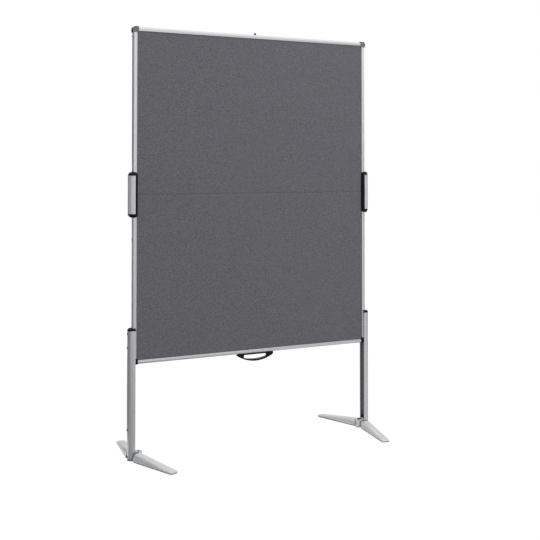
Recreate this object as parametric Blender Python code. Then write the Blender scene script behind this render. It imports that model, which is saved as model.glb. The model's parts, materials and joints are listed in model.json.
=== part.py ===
"""Folding pinboard on two slide-on legs, each with a pair of swing-out feet.

The board stands in the XZ plane and faces -Y. The origin is on the floor, below the
middle of the board. Sizes are in metres, and +Z is up.
"""
import math

import bmesh
import bpy
from mathutils import Matrix, Vector
from mathutils.geometry import tessellate_polygon

# Clearances
SEAT_GAP = 0.0003
SLIDE_GAP = 0.0005
CUT_OVERRUN = 0.004

# Board, fold and panels
BOARD_WIDTH = 1.200
BOARD_HEIGHT = 1.500
BOARD_UNDERSIDE = 0.419
FOLD_GAP = 0.001
PANEL_DEPTH = 0.020
FELT_THICKNESS = 0.002

# Frame rails
RAIL_FACE = 0.018
RAIL_DEPTH = 0.028
RAIL_WALL = 0.0018
RAIL_SLOT_DEPTH = 0.0095
RAIL_LIP_TOE = 0.002
RAIL_ROUND_REACH = 0.008
RAIL_SIDE_FLAT = 0.010

# Corner caps
CORNER_CAP_LEG = 0.025
CORNER_CAP_RADIUS = 0.012
CORNER_CAP_INNER_RADIUS = 0.004
CORNER_CAP_RECESS_RADIUS = 0.0065
CORNER_CAP_RECESS_DEPTH = 0.0008

# Rail screws near the top corners, and the catch stud on the top rail
RAIL_SCREW_BELOW_TOP = 0.043
RAIL_SCREW_HEAD_RADIUS = 0.0035
RAIL_SCREW_HEAD_HEIGHT = 0.0018
RAIL_SCREW_SHANK_RADIUS = 0.0016
RAIL_SCREW_SHANK_LENGTH = 0.006
STUD_RADIUS = 0.0048
STUD_NECK_RADIUS = 0.0030
STUD_HEIGHT = 0.009

# Fold hinges on the rear of the board
HINGE_AXIS_DEPTH = 0.0195
HINGE_INSET = 0.048
HINGE_WIDTH = 0.045
HINGE_LEAF_HEIGHT = 0.042
HINGE_LEAF_THICKNESS = 0.002
HINGE_WEB_HEIGHT = 0.013
HINGE_KNUCKLE_RADIUS = 0.005
HINGE_PIN_RADIUS = 0.0022
HINGE_PIN_HEAD_RADIUS = 0.0042
HINGE_PIN_HEAD_LENGTH = 0.0016

# Locking sleeves over the fold
SLEEVE_LENGTH = 0.203
SLEEVE_CAP_LENGTH = 0.0165
SLEEVE_DEPTH = 0.050
SLEEVE_OUTREACH = 0.019
SLEEVE_FACE_WIDTH = 0.0275
SLEEVE_WALL = 0.002
SLEEVE_HOOK_REACH = 0.004
SLEEVE_HOOK_CLEARANCE = 0.0007

# Legs
LEG_TOP = 0.568
LEG_CAP_HEIGHT = 0.011
LEG_CAP_OVERHANG = 0.001
LEG_DEPTH = 0.044
LEG_OUTREACH = 0.019
LEG_FACE_WIDTH = 0.031
LEG_WALL = 0.0025
LEG_LIP = 0.003
LEG_GLIDE_HEIGHT = 0.003
LEG_GUIDE_LENGTH = 0.118
CLAMP_SCREWS_BELOW_TOP = (0.074, 0.014)
CLAMP_SCREW_HEAD_RADIUS = 0.0045
CLAMP_SCREW_HEAD_HEIGHT = 0.0022
CLAMP_SCREW_SHANK_RADIUS = 0.0025
TRANSPORT_HOLE_HEIGHT = 0.133
TRANSPORT_HOLE_RADIUS = 0.0032

# Foot bracket and its knuckle barrel
PIVOT_INSET = 0.021
BARREL_RADIUS = 0.0155
BARREL_BOTTOM = 0.001
BARREL_HEIGHT = 0.034
BARREL_RING_COUNT = 6
BARREL_RING_GAP = 0.0005
BARREL_CLEARANCE = 0.0025
PIVOT_PIN_RADIUS = 0.004
PIVOT_PIN_HEAD_RADIUS = 0.006
PIVOT_PIN_HEAD_HEIGHT = 0.0012
PIVOT_BORE_CLEARANCE = 0.0003
BRACKET_HEIGHT = 0.043
BRACKET_RISE = 0.010
BRACKET_ARM_WIDTH = 0.016

# Feet
FOOT_REACH = 0.270
FOOT_START = 0.0245
FOOT_BASE_HEIGHT = 0.0345
FOOT_TIP_HEIGHT = 0.0085
FOOT_BASE_WIDTH = 0.049
FOOT_TIP_WIDTH = 0.041
FOOT_INNER_GAP = 0.0006
FOOT_SHOULDER = 0.018
FOOT_TIP_SHOULDER = 0.0045
FOOT_CREST = 0.008
FOOT_TIP_CREST = 0.0025
FOOT_WALL = 0.0028
FOOT_RIB = 0.0025
FOOT_ARM_WIDTH = 0.012
FOOT_NECK_NEAR = 0.006
FOOT_NECK_FAR = 0.0145
FOOT_NECK_GAP = 0.001
SOLE_HEIGHT = 0.004
SOLE_INSET = 0.0012
FOOT_ANGLES = {"front_left": math.radians(21.5), "rear_left": math.radians(3.5),
               "front_right": math.radians(7.0), "rear_right": math.radians(21.5)}

# Carry handle
HANDLE_LENGTH = 0.180
HANDLE_DROP = 0.036
HANDLE_END_DROP = 0.010
HANDLE_DEPTH = 0.024
HANDLE_PLATE = 0.005
HANDLE_STRAP = 0.0075
HANDLE_STRAP_END = 0.0045
HANDLE_END_BLOCK = 0.029
HANDLE_WINDOW_ROUND = 0.002
HANDLE_EDGE_ROUND = 0.0018
HANDLE_POCKET_DEPTH = 0.003
HANDLE_POCKET_RIM = 0.006

# Shapes given as shares of the piece that carries them
DOME_HEIGHT_SHARES = (0.0, 0.45, 0.75, 0.92, 1.0)
DOME_INSET_SHARES = (0.0, 0.11, 0.34, 0.61, 1.0)
DOME_INSET_SHARE = 0.75
SIDE_ROUND_SHARE = 0.96
FOOT_STATION_SHARES = (0.0, 0.25, 0.5, 0.75, 0.93, 0.98, 1.0)
FOOT_SQUEEZE_SHARES = (1.0, 1.0, 1.0, 1.0, 1.0, 0.92, 0.72)
FOOT_RIB_PLACE_SHARES = (0.34, 0.66)
STUD_PROFILE_SHARES = ((1.0, 0.0), (1.0, 0.18), (0.0, 0.30), (0.0, 0.55), (0.9, 0.70), (0.9, 0.88))

ARC_STEPS = 5
HOOK_ARC_STEPS = 4
HANDLE_ARC_STEPS = 16
ROUND_STEPS = 24
SMALL_ROUND_STEPS = 16
SMOOTH_ANGLE = math.radians(35)

HALF_WIDTH = BOARD_WIDTH / 2
BOARD_TOP = BOARD_UNDERSIDE + BOARD_HEIGHT
FOLD_HEIGHT = BOARD_UNDERSIDE + BOARD_HEIGHT / 2
RAIL_INNER = HALF_WIDTH - RAIL_FACE
SIDES = {"left": -1, "right": 1}


def clear_scene():
    for obj in list(bpy.data.objects):
        bpy.data.objects.remove(obj, do_unlink=True)


def make_material(name, color, roughness, metallic):
    material = bpy.data.materials.new(name)
    material.use_nodes = True
    shader = material.node_tree.nodes["Principled BSDF"]
    shader.inputs["Base Color"].default_value = (*color, 1.0)
    shader.inputs["Roughness"].default_value = roughness
    shader.inputs["Metallic"].default_value = metallic
    material.diffuse_color = (*color, 1.0)
    return material


def make_materials():
    return {
        "silver": make_material("satin_aluminium", (0.56, 0.57, 0.58), 0.34, 0.9),
        "cast": make_material("painted_casting", (0.50, 0.51, 0.52), 0.45, 0.6),
        "black": make_material("black_plastic", (0.012, 0.012, 0.013), 0.42, 0.0),
        "grey_cap": make_material("dark_grey_plastic", (0.08, 0.08, 0.085), 0.5, 0.0),
        "felt": make_material("grey_felt", (0.122, 0.119, 0.133), 0.95, 0.0),
        "core": make_material("fibre_core", (0.42, 0.33, 0.22), 0.9, 0.0),
        "steel": make_material("zinc_plated_steel", (0.55, 0.56, 0.57), 0.38, 1.0),
        "rubber": make_material("black_rubber", (0.02, 0.02, 0.02), 0.8, 0.0),
    }


# Mesh helpers
def finish_object(name, bm, material, origin=(0, 0, 0)):
    bmesh.ops.remove_doubles(bm, verts=bm.verts, dist=SEAT_GAP / 30)
    bmesh.ops.recalc_face_normals(bm, faces=bm.faces)
    mesh = bpy.data.meshes.new(name)
    bm.to_mesh(mesh)
    bm.free()
    mesh.transform(Matrix.Translation(-Vector(origin)))
    mesh.materials.append(material)
    mesh.shade_smooth()
    mesh.set_sharp_from_angle(angle=SMOOTH_ANGLE)
    obj = bpy.data.objects.new(name, mesh)
    obj.location = origin
    bpy.context.scene.collection.objects.link(obj)
    return obj


def add_prism(bm, outline, place, start, end, holes=()):
    """Extrude a flat outline, with any holes, from start to end along the third axis."""
    loops = [list(outline)] + [list(hole) for hole in holes]
    rings = []
    for loop in loops:
        low = [bm.verts.new(place(a, b, start)) for a, b in loop]
        high = [bm.verts.new(place(a, b, end)) for a, b in loop]
        rings.append((low, high))
        for i in range(len(loop)):
            j = (i + 1) % len(loop)
            bm.faces.new((low[i], low[j], high[j], high[i]))
    flat = [[Vector((a, b, 0)) for a, b in loop] for loop in loops]
    lows = [vert for low, _ in rings for vert in low]
    highs = [vert for _, high in rings for vert in high]
    for triangle in tessellate_polygon(flat):
        bm.faces.new([lows[i] for i in triangle])
        bm.faces.new([highs[i] for i in reversed(triangle)])


def add_loft(bm, rings):
    """Skin closed rings of points, which all have the same count, and close both ends."""
    layers = [[bm.verts.new(point) for point in ring] for ring in rings]
    count = len(layers[0])
    for low, high in zip(layers, layers[1:]):
        for i in range(count):
            j = (i + 1) % count
            bm.faces.new((low[i], low[j], high[j], high[i]))
    bm.faces.new(layers[0])
    bm.faces.new(list(reversed(layers[-1])))


def add_turned(bm, profile, place, steps):
    """Turn a profile of (radius, height) pairs about the third axis of place."""
    layers = []
    for radius, height in profile:
        ring = []
        for i in range(steps):
            angle = 2 * math.pi * (i + 0.5) / steps
            ring.append(place(radius * math.cos(angle), radius * math.sin(angle), height))
        layers.append(ring)
    add_loft(bm, layers)


def add_cylinder(bm, centre, radius, axis, start, end, steps=ROUND_STEPS):
    """A cylinder along axis 0, 1 or 2, from start to end, about a centre in the other two."""
    def place(a, b, c):
        point = [centre[0] + a, centre[1] + b]
        point.insert(axis, c)
        return Vector(point)
    add_turned(bm, [(radius, start), (radius, end)], place, steps)


def add_box(bm, low, high):
    outline = [(low[0], low[1]), (high[0], low[1]), (high[0], high[1]), (low[0], high[1])]
    add_prism(bm, outline, lambda a, b, c: Vector((a, b, c)), low[2], high[2])


def combine(obj, bm, operation):
    """Apply one exact Boolean of a mesh, given in world space, to an object."""
    bmesh.ops.recalc_face_normals(bm, faces=bm.faces)
    mesh = bpy.data.meshes.new(obj.name + "_tool")
    bm.to_mesh(mesh)
    bm.free()
    tool = bpy.data.objects.new(obj.name + "_tool", mesh)
    bpy.context.scene.collection.objects.link(tool)
    modifier = obj.modifiers.new(operation.lower(), "BOOLEAN")
    modifier.operation = operation
    modifier.solver = "EXACT"
    modifier.object = tool
    bpy.context.view_layer.update()
    graph = bpy.context.evaluated_depsgraph_get()
    result = bpy.data.meshes.new_from_object(obj.evaluated_get(graph))
    obj.modifiers.clear()
    old = obj.data
    obj.data = result
    result.shade_smooth()
    result.set_sharp_from_angle(angle=SMOOTH_ANGLE)
    bpy.data.objects.remove(tool, do_unlink=True)
    bpy.data.meshes.remove(old)
    result.name = obj.name


def cut(obj, bm):
    combine(obj, bm, "DIFFERENCE")


def fuse(obj, bm):
    combine(obj, bm, "UNION")


def arc(centre, reach, start, end, steps=ARC_STEPS):
    """Points of an elliptical arc, from the start angle to the end angle in degrees."""
    points = []
    for i in range(steps + 1):
        angle = math.radians(start + (end - start) * i / steps)
        points.append((centre[0] + reach[0] * math.cos(angle), centre[1] + reach[1] * math.sin(angle)))
    return points


# Frame rails
def rail_curve(gap=0.0):
    """Front to rear round the outside of a rail: u is outward from its inner edge, v is +Y."""
    reach = (RAIL_ROUND_REACH + gap, RAIL_DEPTH / 2 - RAIL_SIDE_FLAT / 2 + gap)
    u = RAIL_FACE - RAIL_ROUND_REACH
    v = RAIL_SIDE_FLAT / 2
    return arc((u, -v), reach, -90, 0) + arc((u, v), reach, 0, 90)


def rail_outline():
    half = RAIL_DEPTH / 2
    mouth = PANEL_DEPTH / 2 + SEAT_GAP
    pocket = half - RAIL_WALL
    slot = [(0, mouth), (RAIL_LIP_TOE, mouth), (RAIL_LIP_TOE + RAIL_WALL, pocket),
            (RAIL_SLOT_DEPTH, pocket)]
    mirrored = [(u, -v) for u, v in reversed(slot)]
    return [(0, -half)] + rail_curve() + [(0, half)] + slot + mirrored


def rail_chamber():
    u = RAIL_FACE - RAIL_ROUND_REACH
    v = RAIL_SIDE_FLAT / 2
    reach = (RAIL_ROUND_REACH - RAIL_WALL, RAIL_DEPTH / 2 - v - RAIL_WALL)
    near = RAIL_SLOT_DEPTH + RAIL_WALL
    curve = arc((u, -v), reach, -90, 0) + arc((u, v), reach, 0, 90)
    curve = [point for point in curve if point[0] > near]
    return [(near, curve[0][1])] + curve + [(near, curve[-1][1])]


def side_place(side):
    """Rail coordinates of an upright on one side, to world."""
    return lambda u, v, w: Vector((side * (RAIL_INNER + u), v, w))


def build_side_rail(name, side, bottom, top, material):
    bm = bmesh.new()
    add_prism(bm, rail_outline(), side_place(side), bottom, top, [rail_chamber()])
    return finish_object(name, bm, material)


def build_cross_rail(name, outward, edge, material):
    """The top or bottom rail: outward is +1 or -1, and edge is its outer height."""
    inner = edge - outward * RAIL_FACE
    reach = HALF_WIDTH - CORNER_CAP_LEG - SEAT_GAP
    bm = bmesh.new()
    place = lambda u, v, w: Vector((w, v, inner + outward * u))
    add_prism(bm, rail_outline(), place, -reach, reach, [rail_chamber()])
    return finish_object(name, bm, material)


def panel_reach():
    """How far the panels run into the rails' slots, from the middle."""
    return RAIL_INNER + RAIL_SLOT_DEPTH - SEAT_GAP


def build_panel(prefix, fold_edge, rail_edge, materials):
    """One half's core and its two felt faces, from the fold to inside the cross rail."""
    low = min(fold_edge, rail_edge)
    high = max(fold_edge, rail_edge)
    reach = panel_reach()
    core_half = PANEL_DEPTH / 2 - FELT_THICKNESS - SEAT_GAP
    bm = bmesh.new()
    add_box(bm, (-reach, -core_half, low), (reach, core_half, high))
    finish_object(prefix + "_core_panel", bm, materials["core"])
    for face, sign in (("front", -1), ("rear", 1)):
        near = sign * (PANEL_DEPTH / 2 - FELT_THICKNESS)
        far = sign * PANEL_DEPTH / 2
        bm = bmesh.new()
        add_box(bm, (-reach, min(near, far), low), (reach, max(near, far), high))
        finish_object(prefix + "_" + face + "_felt", bm, materials["felt"])


def build_corner_cap(name, side, outward, edge, material):
    """A moulded cap round one corner, with a pocket for the panel and a dished centre.

    It is modelled about its own inner corner and then moved to the board's corner.
    """
    leg = CORNER_CAP_LEG
    radius = CORNER_CAP_RADIUS
    inner = CORNER_CAP_INNER_RADIUS
    outline = arc((leg - radius, leg - radius), (radius, radius), 0, 90, 2 * ARC_STEPS)
    outline += [(0, leg)]
    outline += arc((inner, inner), (inner, inner), 180, 270)
    outline += [(leg, 0)]
    place = lambda a, b, c: Vector((side * a, c, outward * b))
    bm = bmesh.new()
    add_prism(bm, outline, place, -RAIL_DEPTH / 2, RAIL_DEPTH / 2)
    cap = finish_object(name, bm, material)
    mouth = PANEL_DEPTH / 2 + SEAT_GAP
    depth = leg - RAIL_FACE + RAIL_SLOT_DEPTH
    pocket = bmesh.new()
    square = [(-CUT_OVERRUN, -CUT_OVERRUN), (depth, -CUT_OVERRUN), (depth, depth), (-CUT_OVERRUN, depth)]
    add_prism(pocket, square, place, -mouth, mouth)
    cut(cap, pocket)
    middle = leg / 2
    turn = 180 / SMALL_ROUND_STEPS
    dish = arc((middle, middle), (CORNER_CAP_RECESS_RADIUS, CORNER_CAP_RECESS_RADIUS), turn, 360 + turn,
               SMALL_ROUND_STEPS)[:-1]
    for sign in (-1, 1):
        face = sign * RAIL_DEPTH / 2
        recess = bmesh.new()
        floor = face - sign * CORNER_CAP_RECESS_DEPTH
        add_prism(recess, dish, place, floor, face + sign * CUT_OVERRUN)
        cut(cap, recess)
    cap.location = (side * (HALF_WIDTH - leg), 0, edge - outward * leg)
    return cap


def build_rail_screw(name, side, rail, material):
    """A pan-head screw through the outer wall of an upper side rail."""
    height = BOARD_TOP - RAIL_SCREW_BELOW_TOP
    hole = bmesh.new()
    bore = RAIL_SCREW_SHANK_RADIUS + SEAT_GAP
    inside = side * (HALF_WIDTH - RAIL_WALL - CUT_OVERRUN / 2)
    add_cylinder(hole, (0, height), bore, 0, inside, side * (HALF_WIDTH + CUT_OVERRUN), SMALL_ROUND_STEPS)
    cut(rail, hole)
    seat = HALF_WIDTH + SEAT_GAP
    tip = seat - RAIL_SCREW_SHANK_LENGTH
    shoulder = seat + RAIL_SCREW_HEAD_HEIGHT / 2
    end = seat + RAIL_SCREW_HEAD_HEIGHT
    profile = [(RAIL_SCREW_SHANK_RADIUS, tip), (RAIL_SCREW_SHANK_RADIUS, seat),
               (RAIL_SCREW_HEAD_RADIUS, seat), (RAIL_SCREW_HEAD_RADIUS, shoulder),
               (RAIL_SCREW_SHANK_RADIUS, end)]
    bm = bmesh.new()
    add_turned(bm, profile, lambda a, b, c: Vector((side * c, a, height + b)), SMALL_ROUND_STEPS)
    return finish_object(name, bm, material)


def build_catch_stud(material):
    """The small turned stud on the middle of the top rail."""
    base = BOARD_TOP + SEAT_GAP
    swell = STUD_RADIUS - STUD_NECK_RADIUS
    profile = [(STUD_NECK_RADIUS + swell * r, base + STUD_HEIGHT * h) for r, h in STUD_PROFILE_SHARES]
    profile.append((STUD_NECK_RADIUS, base + STUD_HEIGHT))
    bm = bmesh.new()
    add_turned(bm, profile, lambda a, b, c: Vector((a, b, c)), SMALL_ROUND_STEPS)
    return finish_object("catch_stud", bm, material)


# Fold hinges
def build_hinge(side_name, side, materials):
    """Two leaves screwed to the rear felt, with three knuckles on one pin."""
    middle = side * (RAIL_INNER - HINGE_INSET)
    left = middle - HINGE_WIDTH / 2
    knuckle = HINGE_WIDTH / 3
    near = PANEL_DEPTH / 2 + SEAT_GAP
    far = near + HINGE_LEAF_THICKNESS
    axis = (HINGE_AXIS_DEPTH, FOLD_HEIGHT)
    place = lambda a, b, c: Vector((c, a, FOLD_HEIGHT + b))
    for half, sign, slots in (("lower", -1, (1,)), ("upper", 1, (0, 2))):
        edge = sign * (FOLD_GAP / 2 + SEAT_GAP)
        end = sign * HINGE_LEAF_HEIGHT
        plate = bmesh.new()
        add_prism(plate, [(near, edge), (far, edge), (far, end), (near, end)], place,
                  left, left + HINGE_WIDTH)
        leaf = finish_object(half + "_hinge_leaf_" + side_name, plate, materials["steel"],
                             (middle, HINGE_AXIS_DEPTH, FOLD_HEIGHT))
        inside = near + HINGE_LEAF_THICKNESS / 2
        web = [(inside, sign * HINGE_WEB_HEIGHT), (inside, edge * 2), (HINGE_AXIS_DEPTH, edge * 2),
               (HINGE_AXIS_DEPTH, sign * HINGE_KNUCKLE_RADIUS)]
        for slot in slots:
            start = left + slot * knuckle + SEAT_GAP / 2
            stop = start + knuckle - SEAT_GAP
            rib = bmesh.new()
            add_prism(rib, web, place, start, stop)
            fuse(leaf, rib)
            barrel = bmesh.new()
            add_cylinder(barrel, axis, HINGE_KNUCKLE_RADIUS, 0, start, stop, ROUND_STEPS)
            fuse(leaf, barrel)
        bore = bmesh.new()
        add_cylinder(bore, axis, HINGE_PIN_RADIUS + SEAT_GAP, 0, left - CUT_OVERRUN,
                     left + HINGE_WIDTH + CUT_OVERRUN, SMALL_ROUND_STEPS)
        cut(leaf, bore)
    start = left - SEAT_GAP
    stop = left + HINGE_WIDTH + SEAT_GAP
    profile = [(HINGE_PIN_HEAD_RADIUS, start - HINGE_PIN_HEAD_LENGTH), (HINGE_PIN_HEAD_RADIUS, start),
               (HINGE_PIN_RADIUS, start), (HINGE_PIN_RADIUS, stop),
               (HINGE_PIN_HEAD_RADIUS, stop), (HINGE_PIN_HEAD_RADIUS, stop + HINGE_PIN_HEAD_LENGTH)]
    pin = bmesh.new()
    add_turned(pin, profile, place_about(axis), SMALL_ROUND_STEPS)
    finish_object("hinge_pin_" + side_name, pin, materials["steel"],
                  (middle, HINGE_AXIS_DEPTH, FOLD_HEIGHT))


def place_about(axis):
    return lambda a, b, c: Vector((c, axis[0] + a, axis[1] + b))


# Locking sleeves
def round_side(front, rear, outreach, depth, inset=0.0):
    """Front edge to rear edge round the outside of a sleeve or leg, drawn in by an inset."""
    corner = depth / 2 * SIDE_ROUND_SHARE
    u = RAIL_FACE + outreach - corner
    v = depth / 2 - corner
    reach = corner - inset
    turns = [math.degrees(math.acos(max(edge - u, 0) / reach)) for edge in (front, rear)]
    points = arc((u, -v), (reach, reach), -turns[0], 0) + arc((u, v), (reach, reach), 0, turns[1])
    if front < u:
        points.insert(0, (front, -v - reach))
    if rear < u:
        points.append((rear, v + reach))
    return points


def sleeve_front():
    return RAIL_FACE + SLEEVE_OUTREACH - SLEEVE_FACE_WIDTH


def sleeve_pocket():
    """Rear to front round the space for the rail, which stays open to the rear."""
    front = rail_curve(SLIDE_GAP)[:ARC_STEPS + 1]
    mouth = PANEL_DEPTH / 2 + SLEEVE_HOOK_CLEARANCE
    inner = -SLIDE_GAP
    return list(reversed(front)) + [(inner, -RAIL_DEPTH / 2 - SLIDE_GAP), (inner, -mouth)]


def sleeve_hook():
    """The bulged nose round the rail's inner edge, from the felt to the front of the shell."""
    mouth = PANEL_DEPTH / 2 + SLEEVE_HOOK_CLEARANCE
    front = sleeve_front()
    reach = (front + SLEEVE_HOOK_REACH, SLEEVE_DEPTH / 2 - mouth)
    return arc((front, -mouth), reach, 180, 270, HOOK_ARC_STEPS)[:-1]


def build_sleeve(side_name, side, materials):
    half = SLEEVE_DEPTH / 2
    front = sleeve_front()
    rear = RAIL_FACE + SLIDE_GAP
    place = side_place(side)
    bottom = FOLD_HEIGHT - SLEEVE_LENGTH / 2 + SLEEVE_CAP_LENGTH
    top = FOLD_HEIGHT + SLEEVE_LENGTH / 2 - SLEEVE_CAP_LENGTH
    origin = (side * HALF_WIDTH, 0, FOLD_HEIGHT)

    outer = round_side(front, rear, SLEEVE_OUTREACH, SLEEVE_DEPTH)
    inner = round_side(front, rear, SLEEVE_OUTREACH, SLEEVE_DEPTH, SLEEVE_WALL)
    bm = bmesh.new()
    add_prism(bm, outer + list(reversed(inner)), place, bottom, top)
    shell = finish_object("sleeve_shell_" + side_name, bm, materials["silver"], origin)

    step = SLEEVE_WALL + SEAT_GAP
    body = sleeve_hook() + [(front - SEAT_GAP, -half)]
    body += round_side(front - SEAT_GAP, rear, SLEEVE_OUTREACH, SLEEVE_DEPTH, step) + sleeve_pocket()
    bm = bmesh.new()
    add_prism(bm, body, place, bottom, top)
    guide = finish_object("sleeve_guide_" + side_name, bm, materials["black"], origin)
    keeper_root = rear + SLEEVE_WALL
    keeper_back = half - 2 * SLEEVE_WALL
    keeper = rail_curve(SLIDE_GAP)[ARC_STEPS + 2:]
    keeper = [(keeper_root, keeper[0][1])] + keeper
    keeper += [(RAIL_SLOT_DEPTH / 2, keeper[-1][1]), (RAIL_SLOT_DEPTH / 2, keeper_back),
               (keeper_root, keeper_back)]
    bm = bmesh.new()
    add_prism(bm, keeper, place, FOLD_HEIGHT + FOLD_GAP, top)
    fuse(guide, bm)

    section = sleeve_hook() + outer
    limits = (-SLIDE_GAP, rear, RAIL_DEPTH / 2 + SLIDE_GAP)
    caps = []
    for end_name, sign, edge in (("bottom", -1, bottom), ("top", 1, top)):
        start = edge + sign * SEAT_GAP
        rings = domed_rings(section, sleeve_pocket(), limits, place, start,
                            sign * (SLEEVE_CAP_LENGTH - SEAT_GAP))
        bm = bmesh.new()
        add_loft(bm, rings)
        caps.append(finish_object("sleeve_" + end_name + "_cap_" + side_name, bm,
                                  materials["black"], origin))
    return [shell, guide] + caps


def domed_rings(section, pocket, limits, place, start, rise):
    """Rings of a domed end cap: the outside draws in toward the pocket, which stays as it is."""
    rings = []
    for height, inset in zip(DOME_HEIGHT_SHARES, DOME_INSET_SHARES):
        share = inset * DOME_INSET_SHARE
        outside = []
        for u, v in section:
            near_u = min(max(u, limits[0]), limits[1])
            near_v = min(max(v, -limits[2]), limits[2])
            outside.append((u + (near_u - u) * share, v + (near_v - v) * share))
        ring = outside + list(pocket)
        rings.append([place(u, v, start + rise * height) for u, v in ring])
    return rings


# Legs
def leg_front():
    return RAIL_FACE + LEG_OUTREACH - LEG_FACE_WIDTH


def leg_inside():
    """Front to rear round what fits inside the channel, between its open edges."""
    near = leg_front() + LEG_WALL + SEAT_GAP
    return round_side(near, near, LEG_OUTREACH, LEG_DEPTH, LEG_WALL + SEAT_GAP)


def drill_side(obj, side, height, radius, start, end):
    hole = bmesh.new()
    add_cylinder(hole, (0, height), radius, 0, side * start, side * end, SMALL_ROUND_STEPS)
    cut(obj, hole)


def build_leg(side_name, side, materials):
    place = side_place(side)
    front = leg_front()
    outside = HALF_WIDTH + LEG_OUTREACH
    origin = (side * HALF_WIDTH, 0, 0)
    low = LEG_GLIDE_HEIGHT + SEAT_GAP

    outer = round_side(front, front, LEG_OUTREACH, LEG_DEPTH)
    lip = LEG_DEPTH / 2 - LEG_WALL - LEG_LIP
    back = front + LEG_WALL
    inner = [(front, -lip), (back, -lip)]
    inner += round_side(back, back, LEG_OUTREACH, LEG_DEPTH, LEG_WALL)
    inner += [(back, lip), (front, lip)]
    bm = bmesh.new()
    add_prism(bm, outer + list(reversed(inner)), place, low, LEG_TOP)
    channel = finish_object("leg_channel_" + side_name, bm, materials["silver"], origin)

    pocket = [point for point in rail_curve(SLIDE_GAP) if point[0] > back + SEAT_GAP]
    rail_half = RAIL_DEPTH / 2 + SLIDE_GAP
    pocket = [(back + SEAT_GAP, -rail_half)] + pocket + [(back + SEAT_GAP, rail_half)]
    bm = bmesh.new()
    add_prism(bm, leg_inside() + list(reversed(pocket)), place,
              LEG_TOP - LEG_GUIDE_LENGTH, LEG_TOP)
    guide = finish_object("leg_guide_" + side_name, bm, materials["black"], origin)

    over = LEG_CAP_OVERHANG
    section = round_side(front - over, front - over, LEG_OUTREACH + over, LEG_DEPTH + 2 * over)
    cap_pocket = [(front - over, rail_half)] + list(reversed(rail_curve(SLIDE_GAP)))
    cap_pocket += [(front - over, -rail_half)]
    limits = (front - over, RAIL_FACE + SLIDE_GAP, rail_half)
    bm = bmesh.new()
    add_loft(bm, domed_rings(section, cap_pocket, limits, place, LEG_TOP + SEAT_GAP,
                             LEG_CAP_HEIGHT - SEAT_GAP))
    cap = finish_object("leg_top_cap_" + side_name, bm, materials["black"], origin)

    pieces = [channel, guide, cap]
    bore = CLAMP_SCREW_SHANK_RADIUS + SEAT_GAP
    for level, below in zip(("lower", "upper"), CLAMP_SCREWS_BELOW_TOP):
        height = LEG_TOP - below
        drill_side(channel, side, height, bore, outside - LEG_WALL - CUT_OVERRUN / 2,
                   outside + CUT_OVERRUN)
        drill_side(guide, side, height, bore, HALF_WIDTH - SLIDE_GAP, outside)
        seat = outside + SEAT_GAP
        profile = [(CLAMP_SCREW_SHANK_RADIUS, HALF_WIDTH + SEAT_GAP), (CLAMP_SCREW_SHANK_RADIUS, seat),
                   (CLAMP_SCREW_HEAD_RADIUS, seat),
                   (CLAMP_SCREW_HEAD_RADIUS, seat + CLAMP_SCREW_HEAD_HEIGHT / 2),
                   (CLAMP_SCREW_SHANK_RADIUS, seat + CLAMP_SCREW_HEAD_HEIGHT)]
        bm = bmesh.new()
        add_turned(bm, profile, screw_place(side, height), SMALL_ROUND_STEPS)
        pieces.append(finish_object("clamp_screw_" + level + "_" + side_name, bm,
                                    materials["black"], origin))
    drill_side(channel, side, TRANSPORT_HOLE_HEIGHT, TRANSPORT_HOLE_RADIUS,
               outside - LEG_WALL - CUT_OVERRUN / 2, outside + CUT_OVERRUN)

    bm = bmesh.new()
    add_prism(bm, outer, place, 0, LEG_GLIDE_HEIGHT)
    pieces.append(finish_object("leg_bottom_glide_" + side_name, bm, materials["rubber"], origin))
    return pieces


def screw_place(side, height):
    return lambda a, b, c: Vector((side * c, a, height + b))


# Foot brackets and feet
def pivot_x():
    return HALF_WIDTH + LEG_OUTREACH - LEG_FACE_WIDTH - PIVOT_INSET


def ring_levels():
    """Bottom and top of each ring of a barrel, from the lowest up."""
    pitch = (BARREL_HEIGHT + BARREL_RING_GAP) / BARREL_RING_COUNT
    bottoms = [BARREL_BOTTOM + i * pitch for i in range(BARREL_RING_COUNT)]
    return [(bottom, bottom + pitch - BARREL_RING_GAP) for bottom in bottoms]


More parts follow.
